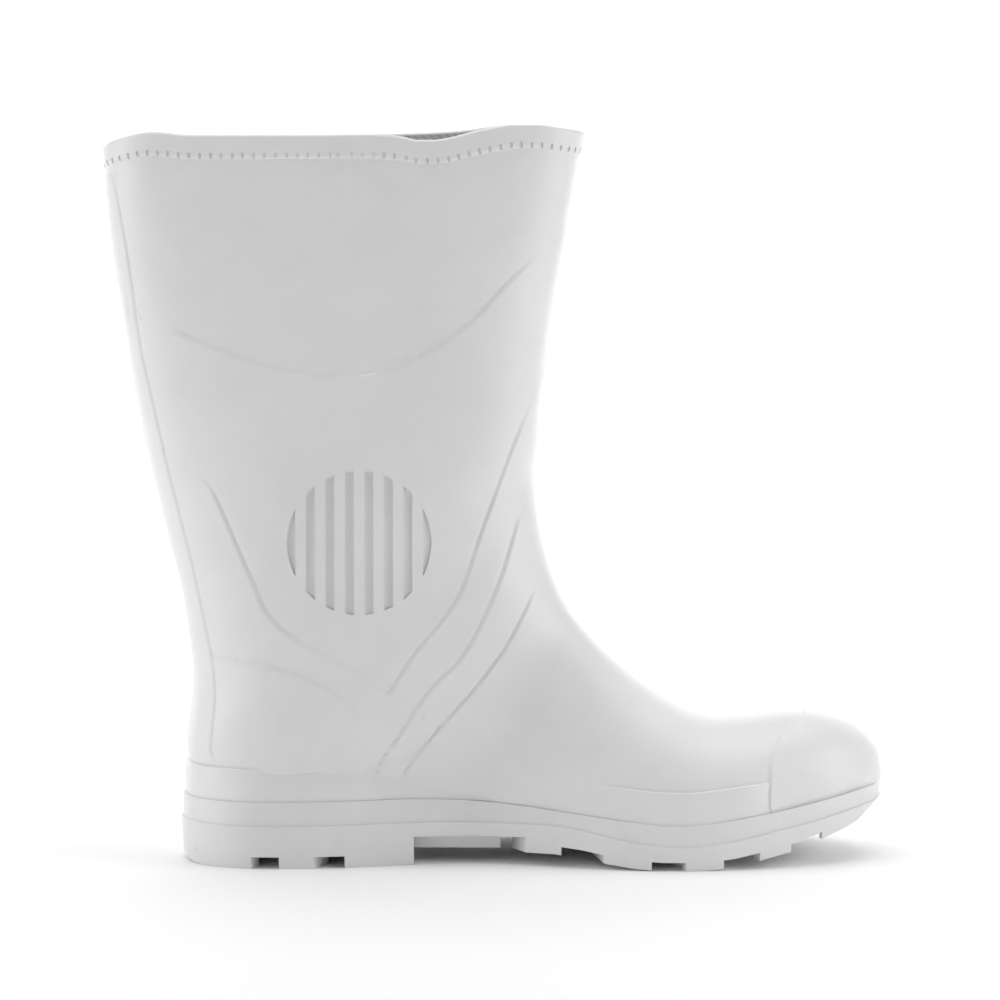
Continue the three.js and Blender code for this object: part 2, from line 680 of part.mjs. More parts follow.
// Origin under the middle of the whole boot, on the floor.
const box = new THREE.Box3().setFromObject(boot);
const centre = box.getCenter(new THREE.Vector3());
boot.children.forEach((mesh) => mesh.geometry.translate(-centre.x, -centre.y, -box.min.z));

export default boot;
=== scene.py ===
import math

import bmesh
import bpy
import numpy as np
from bpy.props import FloatProperty, FloatVectorProperty, IntProperty, PointerProperty
from mathutils import Matrix, Vector
from mathutils.bvhtree import BVHTree


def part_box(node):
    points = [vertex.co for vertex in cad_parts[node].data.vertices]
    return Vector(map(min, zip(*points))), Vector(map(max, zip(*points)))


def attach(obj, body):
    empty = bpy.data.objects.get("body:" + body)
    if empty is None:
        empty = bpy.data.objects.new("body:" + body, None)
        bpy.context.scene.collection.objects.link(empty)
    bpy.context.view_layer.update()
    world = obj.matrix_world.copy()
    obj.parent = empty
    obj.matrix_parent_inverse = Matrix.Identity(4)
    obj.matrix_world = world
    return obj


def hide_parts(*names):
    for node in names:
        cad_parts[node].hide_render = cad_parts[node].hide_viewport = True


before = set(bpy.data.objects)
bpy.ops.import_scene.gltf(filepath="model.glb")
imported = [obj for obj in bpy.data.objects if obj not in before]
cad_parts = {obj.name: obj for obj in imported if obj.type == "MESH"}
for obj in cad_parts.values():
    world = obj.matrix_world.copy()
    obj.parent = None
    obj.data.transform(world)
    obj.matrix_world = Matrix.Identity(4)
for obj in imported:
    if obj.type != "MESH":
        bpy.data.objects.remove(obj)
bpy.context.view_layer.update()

bl_info = {
    "name": "Waterproof Boot",
    "version": (1, 0, 0),
    "blender": (4, 5, 0),
    "location": "View3D > Sidebar > Boot",
    "description": "Builds the looks of a moulded waterproof boot over its packed frame",
    "category": "Object",
}

# Sizes of the boot in metres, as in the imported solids.
SOLE_LENGTH = 0.300
BALL_WIDTH = 0.113
BOOT_HEIGHT = 0.3095
HEEL_HEIGHT = 0.028
INSTEP_HEIGHT = 0.078
SHELL = 0.0019
LAYER_STEP = 0.00035
STRIP_STEP = 0.0006
CAP_STEP = 0.0008
SIDE_STEP = 0.001
DISC_X, DISC_Z = 0.252, 0.442

# Moulded lines: half the width of a step, depth of the hollow at its foot, height
# and reach of its lip, and the width over which a faded step is spread.
LINE_HALF = 0.0005
LINE_FOOT = 0.00028
LINE_LIP = 0.00035
LIP_REACH = 0.005
FADED_HALF = 0.010
FINE_REACH = 0.0024
DISC_RADIUS = 0.030

# Outsole outline, x in sole lengths, sides in ball widths.
OUTLINE_COLUMNS = ("x", "lateral", "medial")
OUTLINE = [
    (0, -0.035, -0.035),
    (0.008, 0.08, -0.159),
    (0.03, 0.173, -0.257),
    (0.063, 0.248, -0.327),
    (0.11, 0.296, -0.372),
    (0.167, 0.327, -0.376),
    (0.233, 0.35, -0.358),
    (0.317, 0.389, -0.301),
    (0.4, 0.429, -0.274),
    (0.483, 0.469, -0.323),
    (0.56, 0.5, -0.403),
    (0.633, 0.518, -0.469),
    (0.707, 0.509, -0.488),
    (0.773, 0.478, -0.469),
    (0.833, 0.429, -0.42),
    (0.887, 0.376, -0.358),
    (0.933, 0.314, -0.288),
    (0.967, 0.239, -0.212),
    (0.988, 0.142, -0.119),
    (1, 0.018, 0.018),
]

# Heights along the sole in heel heights.
LEVELS_COLUMNS = ("x", "tread", "step", "joint", "band")
LEVELS = [
    (0, 0.071, 0.643, 1, 1.5),
    (0.03, 0, 0.643, 1, 1.5),
    (0.3, 0, 0.643, 1, 1.5),
    (0.4, 0.071, 0.636, 0.964, 1.446),
    (0.483, 0.196, 0.629, 0.893, 1.375),
    (0.533, 0.186, 0.621, 0.836, 1.318),
    (0.583, 0.104, 0.514, 0.779, 1.271),
    (0.627, 0.036, 0.429, 0.729, 1.221),
    (0.667, 0, 0.371, 0.679, 1.182),
    (0.707, 0, 0.35, 0.671, 1.171),
    (0.75, 0.014, 0.393, 0.711, 1.207),
    (0.79, 0.079, 0.464, 0.779, 1.25),
    (0.83, 0.171, 0.546, 0.829, 1.286),
    (0.873, 0.268, 0.629, 0.904, 1.307),
    (0.913, 0.411, 0.721, 0.979, 1.321),
    (0.947, 0.511, 0.796, 1.043, 1.332),
    (0.973, 0.571, 0.843, 1.082, 1.343),
    (1, 0.625, 0.875, 1.107, 1.357),
]

# Upright sections of the forefoot, toe first.
FOOT_COLUMNS = ("x", "low", "top", "mid", "lateral", "medial", "wide", "under", "over")
FOOT = [
    (0.99, 1.107, 0.032, 0, 0, 0, 0.5, 2, 2),
    (0.984, 0.964, 0.162, 0, 0.084, -0.071, 0.45, 2.2, 2),
    (0.967, 0.875, 0.256, -0.004, 0.164, -0.146, 0.42, 2.6, 2),
    (0.942, 0.804, 0.331, -0.013, 0.239, -0.217, 0.4, 3, 2),
    (0.907, 0.732, 0.396, -0.022, 0.31, -0.288, 0.38, 3.4, 2),
    (0.86, 0.643, 0.449, -0.031, 0.369, -0.347, 0.36, 4, 2),
    (0.813, 0.571, 0.459, -0.035, 0.413, -0.398, 0.35, 4.4, 2.05),
    (0.77, 0.518, 0.476, -0.04, 0.442, -0.431, 0.34, 4.5, 2.05),
    (0.723, 0.482, 0.541, -0.044, 0.465, -0.449, 0.33, 4.5, 2.05),
    (0.683, 0.482, 0.623, -0.044, 0.475, -0.447, 0.33, 4.5, 2.05),
]

# Sections from the waist round the heel to the collar.
LEG_COLUMNS = ("backX", "backZ", "frontX", "frontZ", "mid", "lateral", "medial", "wide", "under", "over")
LEG = [
    (0.593, 0.045, 0.643, 0.243, -0.044, 0.473, -0.413, 0.34, 4.3, 2.1),
    (0.533, 0.048, 0.601, 0.277, -0.044, 0.458, -0.363, 0.36, 4, 2.15),
    (0.46, 0.052, 0.569, 0.308, -0.04, 0.434, -0.31, 0.38, 3.4, 2.2),
    (0.373, 0.055, 0.542, 0.342, -0.035, 0.412, -0.279, 0.46, 2.8, 2.25),
    (0.273, 0.058, 0.523, 0.381, -0.027, 0.381, -0.303, 0.48, 2.8, 2.3),
    (0.167, 0.061, 0.512, 0.42, -0.018, 0.352, -0.355, 0.46, 3.1, 2.3),
    (0.052, 0.071, 0.504, 0.459, -0.015, 0.355, -0.39, 0.45, 2.9, 2.3),
    (0.013, 0.149, 0.5, 0.494, -0.012, 0.362, -0.385, 0.46, 2.6, 2.3),
    (0.021, 0.249, 0.499, 0.53, -0.009, 0.367, -0.376, 0.47, 2.4, 2.3),
    (0.009, 0.355, 0.504, 0.569, -0.009, 0.376, -0.376, 0.48, 2.4, 2.4),
    (-0.013, 0.443, 0.508, 0.607, -0.004, 0.381, -0.376, 0.49, 2.5, 2.5),
    (-0.037, 0.538, 0.515, 0.662, 0, 0.376, -0.372, 0.5, 2.6, 2.6),
    (-0.06, 0.637, 0.523, 0.724, 0, 0.367, -0.367, 0.5, 2.75, 2.7),
    (-0.077, 0.733, 0.534, 0.787, 0, 0.354, -0.354, 0.5, 2.9, 2.8),
    (-0.092, 0.827, 0.546, 0.851, 0, 0.341, -0.341, 0.5, 3, 2.9),
    (-0.1, 0.914, 0.558, 0.918, 0, 0.329, -0.329, 0.5, 3, 3),
    (-0.103, 0.976, 0.568, 0.976, 0, 0.323, -0.323, 0.5, 3, 3),
    (-0.104, 1.066, 0.582, 1.066, 0, 0.319, -0.319, 0.5, 3, 3),
]

# Side view of the rim, sole lengths and boot heights.
RIM = [
    (-0.15, 0.963), (-0.107, 0.968), (-0.09, 0.977), (-0.033, 0.989), (0.02, 0.985),
    (0.167, 0.985), (0.267, 0.986), (0.307, 0.984), (0.33, 0.978), (0.357, 0.978),
    (0.387, 0.983), (0.41, 0.989), (0.44, 0.995), (0.467, 0.999), (0.5, 0.999),
    (0.533, 0.995), (0.573, 0.99), (0.633, 0.985),
]

# Rim of the far side, which has no dip.
FAR_RIM = [
    (-0.15, 0.963), (-0.107, 0.968), (-0.09, 0.977), (-0.033, 0.989), (0.02, 0.985),
    (0.167, 0.985), (0.267, 0.986), (0.307, 0.987), (0.33, 0.9875), (0.357, 0.9885),
    (0.387, 0.99), (0.41, 0.992), (0.44, 0.996), (0.467, 0.999), (0.5, 0.999),
    (0.533, 0.995), (0.573, 0.99), (0.633, 0.985),
]

# Soft hollows and swellings of the wall in the side view: place, reach along
# and across in metres, turn in degrees, height (hollows negative).
CREASE_COLUMNS = ("x", "z", "long", "wide", "turn", "height")
CREASES = [
    (0.19, 0.80, 0.050, 0.036, 80, -0.0010),
    (0.02, 0.62, 0.060, 0.014, 98, -0.0006),
    (0.40, 0.40, 0.042, 0.012, 62, -0.0008),
    (0.36, 0.30, 0.030, 0.010, 40, -0.0006),
    (0.47, 0.33, 0.030, 0.012, 52, 0.0006),
    (0.08, 0.27, 0.030, 0.012, 20, -0.0006),
    (0.68, 0.16, 0.030, 0.014, 140, -0.0005),
]

# Curved line high on the shaft.
SMILE = [
    (0, 0.724), (0.053, 0.703), (0.103, 0.685), (0.163, 0.669), (0.22, 0.663),
    (0.28, 0.669), (0.333, 0.688), (0.377, 0.712), (0.417, 0.744), (0.457, 0.788),
    (0.507, 0.83),
]

# Line round the ankle shield.
SHIELD = [
    (0.02, 0.536), (0.043, 0.519), (0.055, 0.498), (0.083, 0.433), (0.107, 0.381),
    (0.118, 0.352), (0.137, 0.33), (0.157, 0.313), (0.19, 0.297), (0.228, 0.278),
    (0.26, 0.262), (0.293, 0.237), (0.33, 0.294), (0.353, 0.317), (0.385, 0.355),
    (0.402, 0.388), (0.418, 0.439), (0.442, 0.502), (0.467, 0.569), (0.49, 0.62),
]

# First line over the instep.
INSTEP_BAND = [
    (0.267, 0.123), (0.317, 0.194), (0.347, 0.239), (0.362, 0.254), (0.39, 0.278),
    (0.413, 0.313), (0.43, 0.346), (0.45, 0.391), (0.468, 0.446), (0.48, 0.486),
]

# Second line over the instep.
VAMP_BAND = [
    (0.307, 0.123), (0.35, 0.174), (0.393, 0.22), (0.418, 0.247), (0.447, 0.284),
    (0.465, 0.312), (0.484, 0.348), (0.5, 0.384),
]

# Low line over the heel.
COUNTER = [
    (-0.013, 0.284), (0.08, 0.279), (0.113, 0.276), (0.153, 0.267), (0.193, 0.254),
    (0.253, 0.213), (0.3, 0.145),
]

# Front edge of the back strip, top first.
STRIP = [
    (-0.088, 0.937), (-0.07, 0.84), (-0.056, 0.743), (-0.047, 0.688), (-0.023, 0.582),
    (0, 0.491), (0.02, 0.414), (0.037, 0.336), (0.05, 0.271), (0.053, 0.226),
    (0.047, 0.162),
]

# Rear edge of the toe cap in plan, sole lengths and ball widths.
CAP_EDGE = [
    (0.812, -0.6), (0.82, -0.36), (0.845, -0.25), (0.876, -0.16), (0.886, -0.04),
    (0.878, 0.1), (0.85, 0.2), (0.826, 0.32), (0.815, 0.6),
]

def curve(xs, ys):
    """Monotone cubic through (xs, ys), for arrays."""
    xs = np.asarray(xs, float)
    ys = np.asarray(ys, float)
    step = np.diff(ys) / np.diff(xs)
    slope = np.zeros(len(xs))
    slope[0] = step[0]
    slope[-1] = step[-1]
    turn = step[:-1] * step[1:]
    total = step[:-1] + step[1:]
    inner = np.where(turn > 0, 2 * turn / np.where(total == 0, 1, total), 0)
    slope[1:-1] = inner

    def at(x):
        x = np.asarray(x, float)
        i = np.clip(np.searchsorted(xs, x) - 1, 0, len(xs) - 2)
        width = xs[i + 1] - xs[i]
        t = np.clip((x - xs[i]) / width, 0, 1)
        return (ys[i] * (1 + 2 * t) * (1 - t) ** 2 + slope[i] * width * t * (1 - t) ** 2
                + ys[i + 1] * t * t * (3 - 2 * t) + slope[i + 1] * width * t * t * (t - 1))

    return at


def column(rows, columns, key, size):
    place = columns.index(key)
    return curve(range(len(rows)), [row[place] * size for row in rows])


def level(key):
    place = LEVELS_COLUMNS.index(key)
    return curve([row[0] * SOLE_LENGTH for row in LEVELS],
                 [row[place] * HEEL_HEIGHT for row in LEVELS])


joint_at = level("joint")
band_at = level("band")
tread_at = level("tread")

# The frame's place of the sole's heel end and middle line.
sole_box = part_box("outsole")
SHIFT = np.array([sole_box[0][0], sole_box[1][1] - 0.518 * BALL_WIDTH, 0.0])


def section_rows():
    keys = ("backX", "backZ", "frontX", "frontZ", "mid", "lateral", "medial",
            "wide", "under", "over")
    rows = []
    for row in FOOT:
        r = dict(zip(FOOT_COLUMNS, row))
        x = r["x"] * SOLE_LENGTH
        top = float(joint_at(x)) + r["top"] * INSTEP_HEIGHT
        r.update(backX=x, frontX=x, frontZ=top, backZ=min(r["low"] * HEEL_HEIGHT, top))
        rows.append(r)
    for row in LEG:
        r = dict(zip(LEG_COLUMNS, row))
        for key in ("backX", "frontX"):
            r[key] *= SOLE_LENGTH
        for key in ("backZ", "frontZ"):
            r[key] *= BOOT_HEIGHT
        rows.append(r)
    for r in rows:
        for key in ("mid", "lateral", "medial"):
            r[key] *= BALL_WIDTH
    places = range(len(rows))
    return len(rows), {key: curve(places, [r[key] for r in rows]) for key in keys}


ROW_COUNT, along = section_rows()


def surface(u, turn):
    """Points of the upper's plain surface, u in rows from the toe."""
    u, turn = np.broadcast_arrays(np.asarray(u, float), np.asarray(turn, float))
    c = np.cos(turn)
    s = np.sin(turn)
    power = 2 / np.where(c > 0, along["under"](u), along["over"](u))
    wide = along["wide"](u)
    lift = np.abs(c) ** power
    share = np.where(c > 0, wide * (1 - lift), wide + (1 - wide) * lift)
    spread = np.abs(s) ** power
    mid = along["mid"](u)
    side = np.where(s > 0, along["lateral"](u), along["medial"](u))
    x = along["backX"](u) + (along["frontX"](u) - along["backX"](u)) * share
    z = along["backZ"](u) + (along["frontZ"](u) - along["backZ"](u)) * share
    return np.stack([x, mid + (side - mid) * spread, z], axis=-1)


def outward(u, turn):
    du = surface(u + 0.05, turn) - surface(u - 0.05, turn)
    dv = surface(u, turn + 0.06) - surface(u, turn - 0.06)
    normal = np.cross(du, dv)
    size = np.linalg.norm(normal, axis=-1, keepdims=True)
    return normal / np.maximum(size, 1e-12)


def smooth(value, low, high):
    t = np.clip((value - low) / (high - low), 0, 1)
    return t * t * (3 - 2 * t)


def distance_to(line, a, b):
    """Signed distance of points (a, b) to a polyline, positive on its right side."""
    best = np.full(a.shape, 1e9)
    side = np.ones(a.shape)
    for (x0, y0), (x1, y1) in zip(line[:-1], line[1:]):
        dx, dy = x1 - x0, y1 - y0
        t = np.clip(((a - x0) * dx + (b - y0) * dy) / (dx * dx + dy * dy), 0, 1)
        gap = np.hypot(a - x0 - t * dx, b - y0 - t * dy)
        turn = (a - x0) * dy - (b - y0) * dx
        closer = gap < best
        best = np.where(closer, gap, best)
        side = np.where(closer, np.sign(turn), side)
    return best * side


def side_line(line):
    return [(x * SOLE_LENGTH, z * BOOT_HEIGHT) for x, z in line]


def rim_curve(rows):
    return curve([x * SOLE_LENGTH for x, z in rows], [z * BOOT_HEIGHT for x, z in rows])


near_rim, far_rim = rim_curve(RIM), rim_curve(FAR_RIM)


def rim_at(x, y):
    far = smooth(y, -0.006, 0.010)
    return near_rim(x) * (1 - far) + far_rim(x) * far


def creases(points):
    """Soft unevenness that both faces of the wall share."""
    x, z = points[..., 0], points[..., 2]
    height = np.zeros(x.shape)
    for row in CREASES:
        c = dict(zip(CREASE_COLUMNS, row))
        turn = math.radians(c["turn"])
        dx, dz = x - c["x"] * SOLE_LENGTH, z - c["z"] * BOOT_HEIGHT
        a = (dx * math.cos(turn) + dz * math.sin(turn)) / c["long"]
        b = (dz * math.cos(turn) - dx * math.sin(turn)) / c["wide"]
        height += c["height"] * np.exp(-(a * a + b * b))
    return height


def rounded(line):
    """A line with its corners cut three times, its ends kept."""
    for _ in range(3):
        points = [line[0]]
        for (a, b), (c, d) in zip(line[:-1], line[1:]):
            points += [(0.75 * a + 0.25 * c, 0.75 * b + 0.25 * d),
                       (0.25 * a + 0.75 * c, 0.25 * b + 0.75 * d)]
        line = points + [line[-1]]
    return line


def window(value, places):
    """Rises between the first two places and falls between the last two."""
    a, b, c, d = places
    return smooth(value, a, b) * (1 - smooth(value, c, d))


def tip_of(line):
    """Place of the lowest point in a line."""
    return line.index(min(line, key=lambda point: point[1]))


tip = tip_of(SHIELD)
SMILE_LINE = rounded(side_line(SMILE))
SHIELD_LINE = rounded(side_line(SHIELD[:tip + 1])) + rounded(side_line(SHIELD[tip:]))[1:]
INSTEP_LINE = rounded([(0.2 * SOLE_LENGTH, -0.05)] + side_line(INSTEP_BAND)
                      + [(0.2, 0.19), (0.4, 0.19)])
VAMP_LINE = rounded([(0.25 * SOLE_LENGTH, -0.05)] + side_line(VAMP_BAND)
                    + [(0.2, 0.15), (0.4, 0.15)])
COUNTER_LINE = rounded(side_line(COUNTER))
STRIP_LINE = side_line(STRIP)
CAP_LINE = rounded([(a * SOLE_LENGTH, b * BALL_WIDTH) for a, b in CAP_EDGE])


# Where each line starts to show, shows fully, starts to fade and is gone, in metres.
SHOWN = {
    "smile": (-0.012, 0.002, 0.138, 0.154),
    "shield front": (0.066, 0.074, 0.184, 0.198),
    "shield back": (0.066, 0.074, 0.150, 0.168),
    "instep": (0.030, 0.042, 0.140, 0.153),
    "vamp": (0.030, 0.042, 0.106, 0.121),
    "counter": (0.010, 0.016, 0.070, 0.085),
    "strip": (0.040, 0.050, 0.287, 0.290),
}


def style_lines(points):
    """Distance to each moulded line and how far the line shows there."""
    x, y, z = points[..., 0], points[..., 1], points[..., 2]
    ahead = x > SHIELD[tip][0] * SOLE_LENGTH
    shield = np.where(ahead, window(z, SHOWN["shield front"]), window(z, SHOWN["shield back"]))
    return {
        "smile": (distance_to(SMILE_LINE, x, z), window(x, SHOWN["smile"])),
        "shield": (distance_to(SHIELD_LINE, x, z), shield),
        "instep": (distance_to(INSTEP_LINE, x, z), window(z, SHOWN["instep"])),
        "vamp": (distance_to(VAMP_LINE, x, z), window(z, SHOWN["vamp"])),
        "counter": (distance_to(COUNTER_LINE, x, z), window(x, SHOWN["counter"])),
        "strip": (distance_to(STRIP_LINE, x, z), window(z, SHOWN["strip"])),
        "cap": (distance_to(CAP_LINE, x, y), np.ones(x.shape)),
    }


def step_at(gap):
    """Share of a narrow step at a line, without its lip and foot."""
    return smooth(gap, -LINE_HALF, LINE_HALF)


def edging_at(gap):
    """A raised lip that dies away behind the line and a hollow before it."""
    foot = np.exp(-((gap + 1.9 * LINE_HALF) / LINE_HALF) ** 2)
    lip = step_at(gap) * np.exp(-np.maximum(gap, 0) / LIP_REACH)
    return LINE_LIP * lip - LINE_FOOT * foot


def relief(points, hem_raise, hem_width):
    """Height of the moulded work over the plain surface, in metres."""
    height = np.zeros(points.shape[:-1])
    lines = style_lines(points)
    for key in ("smile", "shield", "instep", "vamp"):
        gap, shown = lines[key]
        faded = smooth(gap, -FADED_HALF, FADED_HALF)
        height += LAYER_STEP * (shown * step_at(gap) + (1 - shown) * faded)
        height += shown * edging_at(gap)
    for key, size in (("counter", LAYER_STEP), ("strip", STRIP_STEP), ("cap", CAP_STEP)):
        gap, shown = lines[key]
        height += shown * (size * step_at(gap) + edging_at(gap) * (key == "counter"))
    low = points[..., 2] - rim_at(points[..., 0], points[..., 1]) + hem_width
    hem = smooth(low, -0.0005, 0.0005)
    return height * (1 - hem) + hem_raise * hem


def deselect():
    if bpy.context.object and bpy.context.object.mode != "OBJECT":
        bpy.ops.object.mode_set(mode="OBJECT")
    bpy.ops.object.select_all(action="DESELECT")


def make_active(obj):
    deselect()
    obj.select_set(True)
    bpy.context.view_layer.objects.active = obj


def wrapped_grid(name, points):
    """A grid primitive laid over rows x columns of points, its seam closed."""
    rows, columns = points.shape[:2]
    deselect()
    bpy.ops.mesh.primitive_grid_add(x_subdivisions=columns - 1, y_subdivisions=rows - 1, size=1)
    obj = bpy.context.object
    obj.name = name
    obj.data.name = name
    obj.data.vertices.foreach_set("co", points.astype(np.float32).ravel())
    obj.data.update()
    bpy.ops.object.mode_set(mode="EDIT")
    bpy.ops.mesh.select_all(action="SELECT")
    bpy.ops.mesh.remove_doubles(threshold=1e-6)
    bpy.ops.object.mode_set(mode="OBJECT")
    return obj


def recalculate(obj):
    make_active(obj)
    bpy.ops.object.mode_set(mode="EDIT")
    bpy.ops.mesh.select_all(action="SELECT")
    bpy.ops.mesh.normals_make_consistent(inside=False)
    bpy.ops.object.mode_set(mode="OBJECT")


def apply_modifiers(obj):
    make_active(obj)
    for modifier in list(obj.modifiers):
        bpy.ops.object.modifier_apply(modifier=modifier.name)


def set_material(obj, material):
    obj.data.materials.clear()
    obj.data.materials.append(material)


def outline_points(steps):
    """The sole's outline as a ring, with so many steps to each row of its table."""
    x = column(OUTLINE, OUTLINE_COLUMNS, "x", SOLE_LENGTH)
    lateral = column(OUTLINE, OUTLINE_COLUMNS, "lateral", BALL_WIDTH)
    medial = column(OUTLINE, OUTLINE_COLUMNS, "medial", BALL_WIDTH)
    t = np.linspace(0, len(OUTLINE) - 1, (len(OUTLINE) - 1) * steps + 1)
    there = np.stack([x(t), lateral(t)], axis=-1)
    back = np.stack([x(t), medial(t)], axis=-1)[::-1][1:-1]
    return np.concatenate([there, back])


def inset_ring(points, inset):
    """The ring moved inwards, square to itself."""
    before = np.roll(points, 1, axis=0)
    after = np.roll(points, -1, axis=0)
    step = after - before
    step /= np.linalg.norm(step, axis=1, keepdims=True)
    inward = np.stack([step[:, 1], -step[:, 0]], axis=-1)
    return points + inward * np.asarray(inset).reshape(-1, 1)


def value_node(tree, operation, a, b=None):
    node = tree.nodes.new("ShaderNodeMath")
    node.operation = operation
    for socket, source in zip(node.inputs, (a, b)):
        if source is None:
            continue
        if isinstance(source, (int, float)):
            socket.default_value = source
        else:
            tree.links.new(source, socket)
    return node.outputs[0]


def ramp_node(tree, source, low, high, start=0.0, end=1.0):
    node = tree.nodes.new("ShaderNodeMapRange")
    node.interpolation_type = "SMOOTHSTEP"
    tree.links.new(source, node.inputs["Value"])
    node.inputs["From Min"].default_value = low
    node.inputs["From Max"].default_value = high
    node.inputs["To Min"].default_value = start
    node.inputs["To Max"].default_value = end
    return node.outputs["Result"]


def noise_node(tree, vector, scale, detail=3.0, roughness=0.55):
    node = tree.nodes.new("ShaderNodeTexNoise")
    tree.links.new(vector, node.inputs["Vector"])
    node.inputs["Scale"].default_value = scale
    node.inputs["Detail"].default_value = detail
    node.inputs["Roughness"].default_value = roughness
    return node.outputs["Fac"]


def new_group(name, outputs):
    tree = bpy.data.node_groups.new(name, "ShaderNodeTree")
    for output in outputs:
        tree.interface.new_socket(name=output, in_out="OUTPUT", socket_type="NodeSocketFloat")
    end = tree.nodes.new("NodeGroupOutput")
    coords = tree.nodes.new("ShaderNodeTexCoord")
    return tree, end, coords.outputs["Object"]


def moulding_group():
    """Grain and faint cloudiness of injection-moulded plastic."""
    tree, end, coords = new_group("moulding", ["Cloud", "Grain"])
    cloud = noise_node(tree, coords, 14.0, 4.0)
    flow = noise_node(tree, coords, 70.0, 2.0)
    mixed = value_node(tree, "ADD", value_node(tree, "MULTIPLY", cloud, 0.7),
                       value_node(tree, "MULTIPLY", flow, 0.3))
    tree.links.new(mixed, end.inputs["Cloud"])
    fine = noise_node(tree, coords, 1500.0, 2.0)
    soft = noise_node(tree, coords, 260.0, 2.0)
    grain = value_node(tree, "ADD", value_node(tree, "MULTIPLY", fine, 0.45),
                       value_node(tree, "MULTIPLY", soft, 0.55))
    tree.links.new(grain, end.inputs["Grain"])
    return tree


def pits_group():
    """Sparse small pits left by the mould on the sole."""
    tree, end, coords = new_group("mould_pits", ["Pits"])
    cells = tree.nodes.new("ShaderNodeTexVoronoi")
    tree.links.new(coords, cells.inputs["Vector"])
    cells.inputs["Scale"].default_value = 330.0
    dots = ramp_node(tree, cells.outputs["Distance"], 0.16, 0.26)
    patch = ramp_node(tree, noise_node(tree, coords, 90.0, 2.0), 0.52, 0.62, 0.0, 1.0)
    pits = value_node(tree, "MULTIPLY", value_node(tree, "SUBTRACT", 1.0, dots), patch)
    tree.links.new(pits, end.inputs["Pits"])
    return tree


def group(name, build):
    return bpy.data.node_groups.get(name) or build()


def add_group(tree, source):
    node = tree.nodes.new("ShaderNodeGroup")
    node.node_tree = source
    return node


def new_material(name):
    material = bpy.data.materials.new(name)
    material.use_nodes = True
    tree = material.node_tree
    return material, tree, tree.nodes["Principled BSDF"]


def bump_node(tree, height, distance, under=None, strength=1.0):
    node = tree.nodes.new("ShaderNodeBump")
    node.inputs["Distance"].default_value = distance
    node.inputs["Strength"].default_value = strength
    tree.links.new(height, node.inputs["Height"])
    if under is not None:
        tree.links.new(under, node.inputs["Normal"])
    return node.outputs["Normal"]


def tint_node(tree, factor, dark, light):
    node = tree.nodes.new("ShaderNodeMix")
    node.data_type = "RGBA"
    tree.links.new(factor, node.inputs[0])
    node.inputs[6].default_value = (*dark, 1)
    node.inputs[7].default_value = (*light, 1)
    return node.outputs[2]


def white_moulding(name, colour, roughness, pits=False):
    """White moulded plastic: cloudy colour, fine grain, uneven gloss."""
    material, tree, shader = new_material(name)
    skin = add_group(tree, group("moulding", moulding_group))
    dark = [c * 0.955 for c in colour]
    tone = ramp_node(tree, skin.outputs["Cloud"], 0.35, 0.65)
    tree.links.new(tint_node(tree, tone, dark, colour), shader.inputs["Base Color"])
    gloss = ramp_node(tree, skin.outputs["Cloud"], 0.3, 0.7, roughness - 0.05, roughness + 0.06)
    tree.links.new(gloss, shader.inputs["Roughness"])
    shader.inputs["IOR"].default_value = 1.5
    shader.inputs["Coat Weight"].default_value = 0.12
    shader.inputs["Coat Roughness"].default_value = 0.28
    normal = bump_node(tree, skin.outputs["Grain"], 0.00005)
    if pits:
        marks = add_group(tree, group("mould_pits", pits_group))
        normal = bump_node(tree, marks.outputs["Pits"], -0.00012, normal)
    tree.links.new(normal, shader.inputs["Normal"])
    return material


def knit_material(name, colour, scale):
    """Knitted or felted textile: fine ribs over a soft uneven nap."""
    material, tree, shader = new_material(name)
    coords = tree.nodes.new("ShaderNodeTexCoord").outputs["Object"]
    ribs = tree.nodes.new("ShaderNodeTexWave")
    ribs.bands_direction = "DIAGONAL"
    tree.links.new(coords, ribs.inputs["Vector"])
    ribs.inputs["Scale"].default_value = scale
    ribs.inputs["Distortion"].default_value = 3.0
    ribs.inputs["Detail"].default_value = 2.0
    nap = noise_node(tree, coords, 800.0, 3.0)
    mixed = value_node(tree, "ADD", value_node(tree, "MULTIPLY", ribs.outputs["Fac"], 0.6),
                       value_node(tree, "MULTIPLY", nap, 0.4))
    dark = [c * 0.8 for c in colour]
    tree.links.new(tint_node(tree, mixed, dark, colour), shader.inputs["Base Color"])
    tree.links.new(ramp_node(tree, nap, 0.2, 0.8, 0.85, 0.97), shader.inputs["Roughness"])
    shader.inputs["Sheen Weight"].default_value = 0.25
    tree.links.new(bump_node(tree, mixed, 0.0003), shader.inputs["Normal"])
    return material


class BootSizes(bpy.types.PropertyGroup):
    hem_raise: FloatProperty(
        name="Hem raise", description="How far the hem band stands out of the shaft",
        default=0.0008, min=0.0, max=0.003, unit="LENGTH")
    hem_width: FloatProperty(
        name="Hem width", description="Height of the hem band under the rim",
        default=0.0085, min=0.003, max=0.02, unit="LENGTH")
    tick_pitch: FloatProperty(
        name="Tick pitch", description="Distance between the small ticks under the rim",
        default=0.0045, min=0.002, max=0.01, unit="LENGTH")
    groove_count: IntProperty(
        name="Disc grooves", description="Grooves in the ankle disc", default=8, min=1, max=14)
    groove_depth: FloatProperty(
        name="Groove depth", description="Depth of the ankle disc's grooves",
        default=0.0012, min=0.0002, max=0.0015, unit="LENGTH")
    edge_round: FloatProperty(
        name="Tread edge", description="Rounding of the tread's edges",
        default=0.0012, min=0.0001, max=0.002, unit="LENGTH")


